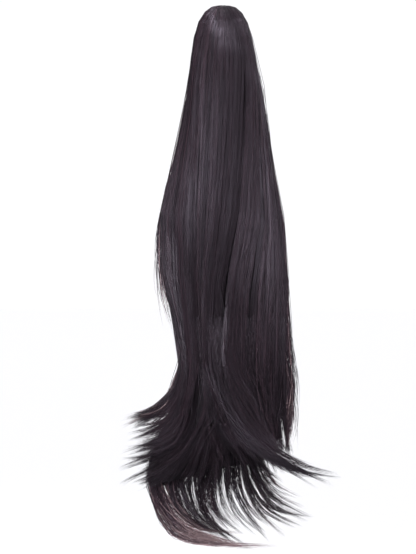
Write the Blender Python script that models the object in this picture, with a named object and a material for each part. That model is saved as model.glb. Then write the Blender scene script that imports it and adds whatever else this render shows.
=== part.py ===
"""A long claw clip ponytail hairpiece, hanging as it is worn.

Metres, +Z up. X runs to the wearer's right hand as seen from behind the head, -Y is the outer side
of the hair and +Y is the side of the head. The origin is the middle of the claw's grip, where the
wearer's own bun sits. The hair is four bundles of sewn hair: three outer panels that run from the
crown over the claw to the flicked ends, and an under panel that hangs from the claw's lower rim.
"""

from collections import namedtuple
from math import asin, cos, pi, radians, sin, sqrt

import bmesh
import bpy
from mathutils import Vector

# The claw: a spring clip with two curved jaws, seen in plan as an ellipse that is open at the head
CLAW_WIDTH = 0.044
CLAW_DEPTH = 0.040
CLAW_HEIGHT = 0.054
CLAW_WALL = 0.0026
CLAW_MOUTH = 0.012
CLAW_POINTS = 40
TOOTH_COUNT = 6
TOOTH_ROOT = 0.0050
TOOTH_TIP = 0.0026
TOOTH_LENGTH = 0.024
BARREL_RADIUS = 0.0035
BARREL_COVER = 0.0005
BARREL_SIDES = 20

# The hair: its thickness over the claw, its rise above it, and the fall below it
SEAM_GAP = 0.0003
CROWN_RISE = 0.0227
CROWN_CORE = 0.0020
CROWN_STEP = 0.0010
CLIP_HAIR = 0.0125
FALL_WIDTH = 0.141
FALL_DEPTH = 0.054
FALL_LENGTH = 0.523
RIDGE_DEPTH = 0.0018
RIDGES_PER_PANEL = 4
BACK_POINTS = 10
# The under panel's back starts this many degrees behind the outer panels' hems
HEM_TURN = 2.0

# The flicked ends
LOCK_RINGS = 13
LOCK_SIDES = 8
LOCK_TIP = 0.05
LOCK_ROOT = 0.50
LOCK_SPREAD = 0.30

HAIR_COLOUR = (0.046, 0.038, 0.046)
HAIR_ROUGHNESS = 0.42
CLAW_COLOUR = (0.012, 0.011, 0.012)
CLAW_ROUGHNESS = 0.22

# Crown sections, from the top down to the claw's upper rim. Rise is a share of CROWN_RISE, size a
# share of the section at the rim. The two partings and the wrap are angles from the front, degrees.
CrownRow = namedtuple("CrownRow", "rise size left_part right_part wrap")
CROWN_ROWS = (
    CrownRow(1.00, 0.18, -30, 24, 180),
    CrownRow(0.91, 0.48, -32, 25, 180),
    CrownRow(0.75, 0.66, -34, 27, 180),
    CrownRow(0.52, 0.81, -36, 31, 178),
    CrownRow(0.27, 0.93, -39, 36, 168),
)

# Sections beside the claw. Height is a share of CLAW_HEIGHT from its middle, side and front are
# the hair's thickness there as shares of CLIP_HAIR.
ClipRow = namedtuple("ClipRow", "height side front left_part right_part wrap")
CLIP_ROWS = (
    ClipRow(0.50, 0.50, 0.48, -42, 40, 148),
    ClipRow(0.25, 0.80, 0.68, -46, 45, 134),
    ClipRow(0.00, 1.02, 0.80, -49, 48, 128),
    ClipRow(-0.25, 1.22, 0.88, -49, 47, 124),
    ClipRow(-0.50, 1.44, 0.92, -48, 44, 120),
)

# Sections of the fall. Drop is a share of FALL_LENGTH below the claw, keep the share of the hair's
# size at the claw that is still there. Width and shift are shares of half of FALL_WIDTH, depth and
# layer shares of half of FALL_DEPTH, where layer is the outer panels' thickness. Back is how far
# out the under panel's back has swelled.
FallRow = namedtuple("FallRow", "drop keep width shift depth layer left_part right_part wrap back")
FALL_ROWS = (
    FallRow(0.022, 0.90, 0.075, 0.024, 0.096, 0.06, -47, 41, 112, 0.45),
    FallRow(0.044, 0.75, 0.186, 0.030, 0.248, 0.14, -45, 38, 106, 0.80),
    FallRow(0.111, 0.45, 0.428, 0.024, 0.544, 0.28, -42, 33, 99, 1.00),
    FallRow(0.180, 0.20, 0.674, 0.000, 0.794, 0.40, -37, 28, 96, 1.00),
    FallRow(0.249, 0.05, 0.870, -0.030, 0.940, 0.48, -32, 22, 95, 1.00),
    FallRow(0.315, 0.00, 0.979, -0.024, 1.000, 0.50, -31, 13, 95, 1.00),
    FallRow(0.384, 0.00, 1.000, 0.000, 0.980, 0.50, -32, 3, 95, 1.00),
    FallRow(0.451, 0.00, 0.977, 0.047, 0.960, 0.51, -34, -2, 95, 1.00),
    FallRow(0.520, 0.00, 0.891, 0.133, 0.930, 0.52, -41, 0, 95, 1.00),
    FallRow(0.587, 0.00, 0.843, 0.174, 0.900, 0.54, -46, 4, 95, 1.00),
    FallRow(0.618, 0.00, 0.835, 0.168, 0.880, 0.55, -46, 4, 95, 1.00),
    FallRow(0.646, 0.00, 0.840, 0.170, 0.860, 0.55, -46, 4, 95, 1.00),
    FallRow(0.695, 0.00, 0.840, 0.150, 0.820, 0.525, -46, 4, 95, 1.00),
    FallRow(0.740, 0.00, 0.790, 0.100, 0.760, 0.49, -46, 4, 95, 1.00),
    FallRow(0.785, 0.00, 0.780, 0.020, 0.680, 0.42, -46, 4, 95, 1.00),
    FallRow(0.830, 0.00, 0.800, -0.070, 0.560, 0.35, -46, 4, 95, 1.00),
    FallRow(0.866, 0.00, 0.700, -0.120, 0.380, 0.24, -46, 4, 95, 1.00),
    FallRow(1.000, 0.00, 0.500, -0.120, 0.260, 0.17, -46, 4, 95, 1.00),
)
UNDER_END = 0.866
# How the outer panels thin out where their locks leave them: the drop and the share that is left
OUTER_THINNING = ((0.587, 1.0), (0.618, 0.70), (0.646, 0.30))

# Locks of the ends. Root, bend and tip are places across, as shares of FALL_WIDTH from the middle,
# and down, as shares of FALL_LENGTH below the claw. Width is a share of FALL_WIDTH.
LockRow = namedtuple("LockRow", "root bend bend_drop tip tip_drop width")
LEFT_LOCKS = (
    LockRow(-0.280, -0.370, 0.737, -0.735, 0.735, 0.120),
    LockRow(-0.270, -0.330, 0.787, -0.710, 0.787, 0.125),
    LockRow(-0.258, -0.213, 0.821, -0.750, 0.815, 0.160),
)
CENTRE_LOCKS = (
    LockRow(-0.113, -0.150, 0.872, -0.780, 0.864, 0.200),
    LockRow(-0.043, -0.134, 0.838, -0.433, 0.893, 0.190),
    LockRow(0.030, -0.050, 0.800, -0.215, 0.905, 0.180),
)
RIGHT_LOCKS = (
    LockRow(0.175, 0.280, 0.815, 0.880, 0.853, 0.160),
    LockRow(0.220, 0.102, 0.838, -0.071, 0.889, 0.190),
    LockRow(0.300, 0.307, 0.838, 0.370, 0.885, 0.200),
    LockRow(0.385, 0.480, 0.737, 0.510, 0.800, 0.120),
)
UNDER_LOCKS = (
    LockRow(-0.255, -0.990, 1.029, 0.307, 0.993, 0.240),
    LockRow(-0.170, -0.600, 0.965, 0.118, 0.983, 0.230),
    LockRow(-0.060, -0.307, 0.965, 0.228, 0.976, 0.210),
    LockRow(0.070, -0.071, 0.944, 0.386, 0.957, 0.200),
    LockRow(0.220, 0.165, 0.927, 0.552, 0.931, 0.190),
    LockRow(0.360, 0.307, 0.885, 0.512, 0.889, 0.150),
)
OUTER_ROOT_DROP = 0.573
UNDER_ROOT_DROP = 0.655
ROOT_RUN = 0.095
# Where the locks lie in the outer layer's thickness, and how much of it they fill
SIDE_LOCK_LEVEL = 0.75
CENTRE_LOCK_LEVEL = 0.25
SIDE_LIMIT = 0.85
OUTER_LOCK_FILL = 0.42
UNDER_LOCK_FILL = 0.50

Section = namedtuple("Section", "z shift wide deep inner_wide inner_deep left right wrap back")


def mix(start, end, share):
    return start + (end - start) * share


def clear_scene():
    for thing in list(bpy.data.objects):
        bpy.data.objects.remove(thing, do_unlink=True)


def make_material(name, colour, roughness):
    material = bpy.data.materials.new(name)
    material.use_nodes = True
    shader = material.node_tree.nodes["Principled BSDF"]
    shader.inputs["Base Color"].default_value = (*colour, 1.0)
    shader.inputs["Roughness"].default_value = roughness
    shader.inputs["Metallic"].default_value = 0.0
    return material


def finish_object(name, mesh_maker, material):
    """Turn a bmesh into an object of the scene, shaded smooth with its sharp edges kept."""
    bmesh.ops.recalc_face_normals(mesh_maker, faces=mesh_maker.faces)
    mesh = bpy.data.meshes.new(name)
    mesh_maker.to_mesh(mesh)
    mesh_maker.free()
    mesh.materials.append(material)
    mesh.shade_smooth()
    mesh.set_sharp_from_angle(angle=radians(50))
    thing = bpy.data.objects.new(name, mesh)
    bpy.context.collection.objects.link(thing)
    return thing


def as_helper(thing):
    """Keep an object that only shapes another one out of the finished part."""
    thing.hide_render = True
    thing.display_type = "WIRE"
    return thing


def combine(target, tool, operation):
    step = target.modifiers.new(f"{operation.lower()} {tool.name}", "BOOLEAN")
    step.object = as_helper(tool)
    step.operation = operation
    step.solver = "EXACT"


def loft(name, rings, material):
    """Extrude a first outline through all the others, each with as many points."""
    maker = bmesh.new()
    corners = [maker.verts.new(point) for point in rings[0]]
    face = maker.faces.new(corners)
    first_face = face
    for ring in rings[1:]:
        step = bmesh.ops.extrude_face_region(maker, geom=[face])
        if face is not first_face:
            bmesh.ops.delete(maker, geom=[face], context="FACES_ONLY")
        face = next(piece for piece in step["geom"] if isinstance(piece, bmesh.types.BMFace))
        far_corners = set(face.verts)
        moved = []
        for corner, point in zip(corners, ring):
            others = (edge.other_vert(corner) for edge in corner.link_edges)
            partner = next(other for other in others if other in far_corners)
            moved.append((partner, point))
        for partner, point in moved:
            partner.co = point
        corners = [partner for partner, point in moved]
    bmesh.ops.triangulate(maker, faces=maker.faces, ngon_method="EAR_CLIP")
    return finish_object(name, maker, material)


def crown_sections(rim):
    """The closed cap of hair above the claw, which keeps the shape of the section at the rim."""
    floor = CLAW_HEIGHT / 2 + SEAM_GAP
    sections = []
    for row in CROWN_ROWS:
        sections.append(Section(
            z=floor + CROWN_RISE * row.rise, shift=0.0,
            wide=rim.wide * row.size, deep=rim.deep * row.size,
            inner_wide=CROWN_CORE, inner_deep=CROWN_CORE,
            left=row.left_part, right=row.right_part, wrap=row.wrap, back=0.0))
    last = sections[-1]
    sections.append(rim._replace(
        z=floor + CROWN_STEP, inner_wide=CROWN_CORE, inner_deep=CROWN_CORE,
        left=mix(last.left, rim.left, 0.9), right=mix(last.right, rim.right, 0.9)))
    return sections


def clip_sections():
    """The hair beside the claw, lying on its outer face."""
    inner_wide = CLAW_WIDTH / 2 + SEAM_GAP
    inner_deep = CLAW_DEPTH / 2 + SEAM_GAP
    sections = []
    for row in CLIP_ROWS:
        sections.append(Section(
            z=(CLAW_HEIGHT + 2 * SEAM_GAP) * row.height, shift=0.0,
            wide=inner_wide + CLIP_HAIR * row.side, deep=inner_deep + CLIP_HAIR * row.front,
            inner_wide=inner_wide, inner_deep=inner_deep,
            left=row.left_part, right=row.right_part, wrap=row.wrap, back=0.0))
    return sections


def fall_sections(rim):
    """The hair below the claw, from the claw's lower rim to the lowest tip."""
    top = -CLAW_HEIGHT / 2 - SEAM_GAP
    half_width = FALL_WIDTH / 2
    half_depth = FALL_DEPTH / 2
    rim_side = rim.wide - rim.inner_wide
    rim_front = rim.deep - rim.inner_deep
    sections = [rim]
    for row in FALL_ROWS:
        wide = rim.wide * row.keep + half_width * row.width
        deep = rim.deep * row.keep + half_depth * row.depth
        sections.append(Section(
            z=top - FALL_LENGTH * row.drop, shift=half_width * row.shift, wide=wide, deep=deep,
            inner_wide=wide - rim_side * row.keep - half_depth * row.layer,
            inner_deep=deep - rim_front * row.keep - half_depth * row.layer,
            left=row.left_part, right=row.right_part, wrap=row.wrap, back=row.back))
    return sections


def drop_of(z):
    """How far down the fall a height lies, as a share of its length."""
    return (-CLAW_HEIGHT / 2 - SEAM_GAP - z) / FALL_LENGTH


def section_at(sections, drop):
    """The section of the fall at a drop between two of its rows."""
    for above, below in zip(sections, sections[1:]):
        first = drop_of(above.z)
        last = drop_of(below.z)
        if drop <= last:
            share = max(0.0, (drop - first) / (last - first))
            return Section(*(mix(a, b, share) for a, b in zip(above, below)))
    return sections[-1]


def arc(section, wide, deep, start, end, count, ridge=0.0):
    """Points along an ellipse between two angles from the front, with a ridge at every other one."""
    points = []
    for number in range(count):
        angle = radians(mix(start, end, number / (count - 1)))
        dip = ridge if number % 2 == 0 else 0.0
        points.append(Vector((section.shift + (wide - dip) * sin(angle),
                              -(deep - dip) * cos(angle), section.z)))
    return points


def seam_angle(wide, deep):
    """The angle in degrees that half of a seam's gap takes at an ellipse."""
    return asin(SEAM_GAP / 2 / min(wide, deep)) * 180 / pi


def panel_ring(section, start, end):
    """The outline of an outer panel between two partings: its ridged face, then its inner face."""
    count = 2 * RIDGES_PER_PANEL + 1
    seam = seam_angle(section.wide, section.deep)
    inner_seam = seam_angle(section.inner_wide, section.inner_deep)
    ridge = min(RIDGE_DEPTH, (section.wide - section.inner_wide) / 4)
    face = arc(section, section.wide, section.deep, start + seam, end - seam, count, ridge)
    inner = arc(section, section.inner_wide, section.inner_deep,
                start + inner_seam, end - inner_seam, count)
    return face + inner[::-1]


def under_ring(section):
    """The outline of the under panel: a core inside the outer panels and a back that shows."""
    count = 2 * RIDGES_PER_PANEL + 1
    core_wide = section.inner_wide - SEAM_GAP
    core_deep = section.inner_deep - SEAM_GAP
    back_wide = mix(core_wide, section.wide, section.back)
    back_deep = mix(core_deep, section.deep, section.back)
    core = arc(section, core_wide, core_deep, -section.wrap, section.left, count)
    core += arc(section, core_wide, core_deep, section.left, section.right, count)[1:]
    core += arc(section, core_wide, core_deep, section.right, section.wrap, count)[1:]
    start = section.wrap + HEM_TURN
    back = arc(section, back_wide, back_deep, start, 360 - start, BACK_POINTS)
    return core + back


def thin_outer(section, from_inside):
    """Near the ends an outer panel thins to one side of its layer, where its locks lie."""
    drop = drop_of(section.z)
    share = 1.0
    for (first, start), (last, end) in zip(OUTER_THINNING, OUTER_THINNING[1:]):
        if drop > first:
            share = mix(start, end, min(1.0, (drop - first) / (last - first)))
    if from_inside:
        return section._replace(inner_wide=mix(section.wide, section.inner_wide, share),
                                inner_deep=mix(section.deep, section.inner_deep, share))
    return section._replace(wide=mix(section.inner_wide, section.wide, share),
                            deep=mix(section.inner_deep, section.deep, share))


def lock_path(row, root_drop, share):
    """Across and down, as shares, along a lock: straight down from its root, then out to its tip."""
    rest = 1 - share
    weights = (rest ** 3, 3 * rest ** 2 * share, 3 * rest * share ** 2, share ** 3)
    across = (row.root, row.root, row.bend, row.tip)
    down = (root_drop, root_drop + ROOT_RUN, row.bend_drop, row.tip_drop)
    return (sum(w * x for w, x in zip(weights, across)),
            sum(w * y for w, y in zip(weights, down)))


def lock_rings(row, root_drop, place):
    """Oval outlines along a lock. Place gives its middle and half thickness in depth at a drop."""
    steps = [number / (LOCK_RINGS - 1) for number in range(LOCK_RINGS)]
    top = -CLAW_HEIGHT / 2 - SEAM_GAP
    middles = []
    for share in steps:
        across, down = lock_path(row, root_drop, share)
        depth, thick = place(down)
        middles.append((Vector((FALL_WIDTH * across, depth, top - FALL_LENGTH * down)), thick))
    rings = []
    for number, share in enumerate(steps):
        middle, thick = middles[number]
        before = middles[max(0, number - 1)][0]
        after = middles[min(LOCK_RINGS - 1, number + 1)][0]
        along = (after - before).normalized()
        sideways = Vector((0, 1, 0)).cross(along).normalized()
        taper = max(LOCK_TIP, (1 - share ** 2) ** 0.8)
        spread = mix(LOCK_ROOT, 1.0, min(1.0, share / LOCK_SPREAD))
        half_width = FALL_WIDTH * row.width / 2 * taper * spread
        half_thick = thick * taper
        ring = []
        for side in range(LOCK_SIDES):
            angle = 2 * pi * side / LOCK_SIDES
            ring.append(middle + sideways * half_width * cos(angle)
                        + Vector((0, half_thick * sin(angle), 0)))
        rings.append(ring)
    return rings


def outer_place(sections, row, level):
    """An outer lock keeps its root's place round the fall, at its level of the outer layer."""
    root = section_at(sections, OUTER_ROOT_DROP)
    reach = root.wide - (root.wide - root.inner_wide) * level
    turn = (FALL_WIDTH * row.root - root.shift) / reach
    turn = max(-SIDE_LIMIT, min(SIDE_LIMIT, turn))
    front = sqrt(1 - turn * turn)

    def place(drop):
        here = section_at(sections, drop)
        layer = here.deep - here.inner_deep
        return -(here.deep - layer * level) * front, layer * OUTER_LOCK_FILL / 2

    return place


def under_place(sections):
    """An under lock lies in the middle of the room behind the outer layer."""

    def place(drop):
        here = section_at(sections, drop)
        core = here.inner_deep - SEAM_GAP
        return (here.deep - core) / 2, (here.deep + core) / 2 * UNDER_LOCK_FILL

    return place


def add_locks(panel, rows, root_drop, placer, material):
    for number, row in enumerate(rows, start=1):
        rings = lock_rings(row, root_drop, placer(row))
        lock = loft(f"{panel.name}_lock_{number}", rings, material)
        combine(panel, lock, "UNION")


def make_outer_panel(name, outer, fall, part, locks, level, material):
    """An outer panel from the crown to its thinned end, with its locks fused to it."""
    start, end = part
    from_inside = level < 0.5
    rings = []
    for section in outer:
        thinned = thin_outer(section, from_inside)
        rings.append(panel_ring(thinned, start(section), end(section)))
    panel = loft(name, rings, material)
    add_locks(panel, locks, OUTER_ROOT_DROP, lambda row: outer_place(fall, row, level), material)
    return panel


def make_under_panel(fall, material):
    """The hair that hangs from the claw's lower rim and shows at the back and the lowest ends."""
    rings = [under_ring(section) for section in fall if drop_of(section.z) <= UNDER_END + 1e-6]
    panel = loft("under_panel", rings, material)
    add_locks(panel, UNDER_LOCKS, UNDER_ROOT_DROP, lambda row: under_place(fall), material)
    return panel


def claw_outline(height):
    """The claw in plan: a wall round an ellipse, open at the head between the tooth tips."""
    rings = []
    for inset in (0.0, CLAW_WALL):
        wide = CLAW_WIDTH / 2 - inset
        deep = CLAW_DEPTH / 2 - inset
        limit = 180 - asin(CLAW_MOUTH / 2 / wide) * 180 / pi
        points = []
        for number in range(CLAW_POINTS):
            angle = radians(mix(-limit, limit, number / (CLAW_POINTS - 1)))
            points.append(Vector((wide * sin(angle), -deep * cos(angle), height)))
        rings.append(points)
    return rings[0] + rings[1][::-1]


def make_tooth_gap(name, side, middle, material):
    """A wedge that parts two teeth of one jaw, wider at their tips than at their roots."""
    pitch = CLAW_HEIGHT / TOOTH_COUNT
    back = CLAW_DEPTH / 2 + CLAW_WALL
    front = CLAW_DEPTH / 2 - TOOTH_LENGTH
    reach = CLAW_WIDTH / 2 + CLAW_WALL
    maker = bmesh.new()
    bmesh.ops.create_cube(maker, size=1.0)
    for corner in maker.verts:
        at_tip = corner.co.y > 0
        gap = pitch - (TOOTH_TIP if at_tip else TOOTH_ROOT)
        corner.co = Vector((side * (reach if corner.co.x > 0 else 0.0),
                            back if at_tip else front,
                            middle + (gap / 2 if corner.co.z > 0 else -gap / 2)))
    return finish_object(name, maker, material)


def make_claw(material):
    """Two jaws that spring from a barrel, with teeth that pass between each other when shut."""
    rings = [claw_outline(-CLAW_HEIGHT / 2), claw_outline(CLAW_HEIGHT / 2)]
    claw = loft("claw_clip", rings, material)
    maker = bmesh.new()
    bmesh.ops.create_cone(maker, cap_ends=True, segments=BARREL_SIDES, radius1=BARREL_RADIUS,
                          radius2=BARREL_RADIUS, depth=CLAW_HEIGHT)
    seat = Vector((0, -(CLAW_DEPTH / 2 - BARREL_COVER - BARREL_RADIUS), 0))
    bmesh.ops.translate(maker, verts=maker.verts, vec=seat)
    barrel = finish_object("claw_barrel", maker, material)
    combine(claw, barrel, "UNION")
    pitch = CLAW_HEIGHT / TOOTH_COUNT
    for number in range(1, TOOTH_COUNT):
        middle = pitch * number - CLAW_HEIGHT / 2
        cutter = make_tooth_gap(f"left_tooth_gap_{number}", -1, middle, material)
        combine(claw, cutter, "DIFFERENCE")
    for number in range(TOOTH_COUNT):
        middle = pitch * (number + 0.5) - CLAW_HEIGHT / 2
        cutter = make_tooth_gap(f"right_tooth_gap_{number + 1}", 1, middle, material)
        combine(claw, cutter, "DIFFERENCE")
    return claw


def main():
    clear_scene()
    hair = make_material("hair", HAIR_COLOUR, HAIR_ROUGHNESS)
    plastic = make_material("claw plastic", CLAW_COLOUR, CLAW_ROUGHNESS)
    make_claw(plastic)
    clip = clip_sections()
    fall = fall_sections(clip[-1])
    last_drop = OUTER_THINNING[-1][0]
    outer = crown_sections(clip[0]) + clip
    outer += [section for section in fall[1:] if drop_of(section.z) <= last_drop + 1e-6]
    parts = {
        "left_panel": (lambda s: -s.wrap, lambda s: s.left),
        "centre_panel": (lambda s: s.left, lambda s: s.right),
        "right_panel": (lambda s: s.right, lambda s: s.wrap),
    }
    locks = {"left_panel": LEFT_LOCKS, "centre_panel": CENTRE_LOCKS, "right_panel": RIGHT_LOCKS}
    levels = {"left_panel": SIDE_LOCK_LEVEL, "centre_panel": CENTRE_LOCK_LEVEL,
              "right_panel": SIDE_LOCK_LEVEL}
    for name, part in parts.items():
        make_outer_panel(name, outer, fall, part, locks[name], levels[name], hair)
    make_under_panel(fall, hair)


main()
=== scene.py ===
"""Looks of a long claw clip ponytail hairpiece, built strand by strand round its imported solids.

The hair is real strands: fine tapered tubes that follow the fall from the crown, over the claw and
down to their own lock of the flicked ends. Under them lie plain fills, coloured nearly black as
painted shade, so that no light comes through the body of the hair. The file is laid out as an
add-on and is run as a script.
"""

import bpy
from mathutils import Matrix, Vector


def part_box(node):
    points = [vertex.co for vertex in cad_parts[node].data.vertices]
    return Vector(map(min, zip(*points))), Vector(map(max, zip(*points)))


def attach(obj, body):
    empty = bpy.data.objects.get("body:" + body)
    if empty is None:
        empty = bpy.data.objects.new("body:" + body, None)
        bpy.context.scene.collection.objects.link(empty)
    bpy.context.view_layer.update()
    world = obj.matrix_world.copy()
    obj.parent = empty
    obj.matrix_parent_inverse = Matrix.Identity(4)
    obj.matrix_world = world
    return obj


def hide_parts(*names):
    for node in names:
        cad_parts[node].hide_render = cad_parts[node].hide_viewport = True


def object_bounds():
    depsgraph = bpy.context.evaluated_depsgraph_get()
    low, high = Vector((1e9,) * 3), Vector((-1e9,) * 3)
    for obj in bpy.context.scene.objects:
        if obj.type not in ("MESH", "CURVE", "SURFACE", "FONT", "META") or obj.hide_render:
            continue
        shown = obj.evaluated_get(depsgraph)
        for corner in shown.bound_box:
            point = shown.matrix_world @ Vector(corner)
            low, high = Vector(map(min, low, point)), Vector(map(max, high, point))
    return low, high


bl_info = {
    "name": "Ponytail Hairpiece",
    "version": (1, 0, 0),
    "blender": (4, 5, 0),
    "location": "View3D > Sidebar > Hairpiece",
    "description": "Strands, fills, claw and studio of a claw clip ponytail",
    "category": "Object",
}

from collections import namedtuple
from math import pi, radians

import bmesh
import bpy
import numpy as np
from bpy.props import FloatProperty, FloatVectorProperty, IntProperty, PointerProperty
from mathutils import Vector

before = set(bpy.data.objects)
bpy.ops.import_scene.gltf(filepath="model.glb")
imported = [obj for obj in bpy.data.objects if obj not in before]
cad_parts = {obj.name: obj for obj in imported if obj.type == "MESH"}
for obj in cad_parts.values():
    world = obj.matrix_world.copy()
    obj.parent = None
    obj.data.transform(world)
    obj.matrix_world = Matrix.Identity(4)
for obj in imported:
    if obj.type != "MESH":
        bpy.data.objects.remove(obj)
CAD_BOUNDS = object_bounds()

CLAW_LOW, CLAW_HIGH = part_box("claw_clip")
CLAW_HALF_WIDTH = CLAW_HIGH.x
CLAW_HALF_DEPTH = -CLAW_LOW.y
CLAW_RIM = CLAW_LOW.z
DOME_TOP = CAD_BOUNDS[1].z
LOWEST_TIP = CAD_BOUNDS[0].z

# The fall's outline, as on the solids, from the apex down. Heights, half widths, half depths and
# sideways shifts are metres. The partings and the outer hair's wrap are degrees from the front,
# back is how far the hair under it has come out from the claw's rim, and lap is how much the side
# hair laps over the centre.
Station = namedtuple("Station", "height wide deep shift left right wrap back lap")
STATIONS = (
    Station(0.0506, 0.0006, 0.0006, 0.0000, -28, 22, 180, 0.0, 0.0),
    Station(0.0502, 0.0052, 0.0050, 0.0000, -30, 24, 180, 0.0, 0.0),
    Station(0.0482, 0.0138, 0.0127, 0.0000, -32, 25, 180, 0.0, 0.0),
    Station(0.0443, 0.0190, 0.0174, 0.0000, -34, 27, 180, 0.0, 0.0),
    Station(0.0391, 0.0232, 0.0214, 0.0000, -36, 31, 178, 0.0, 0.0),
    Station(0.0334, 0.0266, 0.0245, 0.0000, -39, 36, 168, 0.0, 0.0),
    Station(0.0273, 0.0286, 0.0263, 0.0000, -42, 40, 148, 0.0, 0.0),
    Station(0.0136, 0.0323, 0.0288, 0.0000, -46, 45, 134, 0.0, 0.0),
    Station(0.0000, 0.0346, 0.0303, 0.0004, -49, 48, 128, 0.0, 0.0),
    Station(-0.0136, 0.0369, 0.0310, 0.0008, -49, 47, 124, 0.0, 0.1),
    Station(-0.0273, 0.0395, 0.0310, 0.0012, -48, 44, 120, 0.0, 0.1),
    Station(-0.0388, 0.0416, 0.0308, 0.0017, -47, 41, 112, 0.45, 0.1),
    Station(-0.0503, 0.0433, 0.0304, 0.0021, -45, 38, 106, 0.80, 0.2),
    Station(-0.0854, 0.0483, 0.0300, 0.0017, -42, 33, 99, 1.0, 0.4),
    Station(-0.1214, 0.0556, 0.0297, 0.0000, -37, 28, 96, 1.0, 0.6),
    Station(-0.1575, 0.0633, 0.0292, -0.0021, -32, 22, 95, 1.0, 0.8),
    Station(-0.1920, 0.0690, 0.0285, -0.0017, -31, 17, 95, 1.0, 1.0),
    Station(-0.2281, 0.0705, 0.0277, 0.0000, -32, 7, 95, 1.0, 1.0),
    Station(-0.2632, 0.0689, 0.0266, 0.0033, -34, -2, 95, 1.0, 1.0),
    Station(-0.2993, 0.0628, 0.0252, 0.0094, -41, -12, 95, 1.0, 0.8),
    Station(-0.3343, 0.0594, 0.0238, 0.0123, -46, -17, 95, 1.0, 0.5),
    Station(-0.3652, 0.0592, 0.0225, 0.0120, -46, -12, 95, 1.0, 0.2),
    Station(-0.3908, 0.0592, 0.0212, 0.0106, -46, -2, 95, 1.0, 0.0),
    Station(-0.4379, 0.0550, 0.0184, 0.0014, -46, 4, 95, 1.0, 0.0),
)
TRACK_STEP = 0.001
# The grooves at the partings: how deep, and how far they reach into the centre and the side hair.
GROOVE_DEPTH = 0.0018
GROOVE_REACH = 0.006
GROOVE_SIDE_REACH = 0.003
# A bundle's width where its grooves have their full depth.
GROOVE_FULL_ARC = 0.030
# Where the side hair laps over the centre: how far its edges stand out, how far the centre dips
# under them, and how wide both are.
LAP_RISE_LEFT = 0.0012
LAP_RISE_RIGHT = 0.0030
LAP_DIP_LEFT = 0.0028
LAP_DIP_RIGHT = 0.0036
LAP_REACH = 0.014

# Guides of the ends. A bundle's strands leave the fall at the root height and pass three points,
# across and up, to the tip. Place is how far across its bundle a guide starts, and strands between
# two guides run between their points. Depth is how far from the middle the tips lie, and warm is
# how much warmer and lighter the hair is painted towards them: painted light through the thin ends.
Guide = namedtuple("Guide", "place root x1 z1 x2 z2 x3 z3 depth warm")
LEFT_GUIDES = (
    Guide(0.00, -0.318, -0.0522, -0.3633, -0.0689, -0.3922, -0.1111, -0.4100, -0.006, 0.2),
    Guide(0.30, -0.322, -0.0500, -0.3700, -0.0667, -0.3977, -0.1122, -0.4166, -0.007, 0.1),
    Guide(0.50, -0.328, -0.0467, -0.3788, -0.0611, -0.4088, -0.1033, -0.4266, -0.008, 0.2),
    Guide(0.75, -0.335, -0.0433, -0.3877, -0.0589, -0.4244, -0.1089, -0.4444, -0.010, 0.1),
    Guide(1.00, -0.335, -0.0367, -0.3922, -0.0522, -0.4322, -0.1133, -0.4555, -0.012, 0.1),
)
CENTRE_GUIDES = (
    Guide(0.00, -0.335, -0.0200, -0.3855, -0.0167, -0.4233, -0.0056, -0.4633, -0.018, 0.0),
    Guide(0.30, -0.335, -0.0122, -0.3855, 0.0011, -0.4233, 0.0267, -0.4611, -0.018, 0.0),
    Guide(0.55, -0.335, -0.0033, -0.3877, 0.0211, -0.4288, 0.0678, -0.4655, -0.018, 0.1),
    Guide(0.72, -0.335, 0.0078, -0.3966, 0.0433, -0.4444, 0.0922, -0.4711, -0.018, 0.1),
    Guide(0.86, -0.335, 0.0233, -0.4211, 0.0767, -0.4633, 0.1278, -0.4788, -0.018, 0.1),
    Guide(1.00, -0.335, 0.0267, -0.4211, 0.0833, -0.4622, 0.1311, -0.4755, -0.018, 0.1),
)
RIGHT_GUIDES = (
    Guide(0.00, -0.335, 0.0322, -0.4211, 0.0867, -0.4611, 0.1311, -0.4733, -0.018, 0.10),
    Guide(0.04, -0.335, 0.0333, -0.4211, 0.0878, -0.4599, 0.1311, -0.4722, -0.018, 0.10),
    Guide(0.07, -0.338, 0.0278, -0.3900, 0.0567, -0.4300, 0.0833, -0.4455, -0.016, 0.10),
    Guide(0.20, -0.345, 0.0367, -0.3900, 0.0444, -0.4344, 0.0578, -0.4766, -0.012, 0.00),
    Guide(0.48, -0.345, 0.0500, -0.3877, 0.0544, -0.4233, 0.0600, -0.4655, -0.008, 0.10),
    Guide(0.78, -0.345, 0.0644, -0.3833, 0.0644, -0.4188, 0.0689, -0.4566, -0.004, 0.15),
    Guide(0.93, -0.345, 0.0722, -0.3744, 0.0711, -0.4044, 0.0711, -0.4500, -0.002, 0.25),
    Guide(1.00, -0.345, 0.0755, -0.3655, 0.0778, -0.4011, 0.0778, -0.4500, 0.000, 0.30),
)
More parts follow.
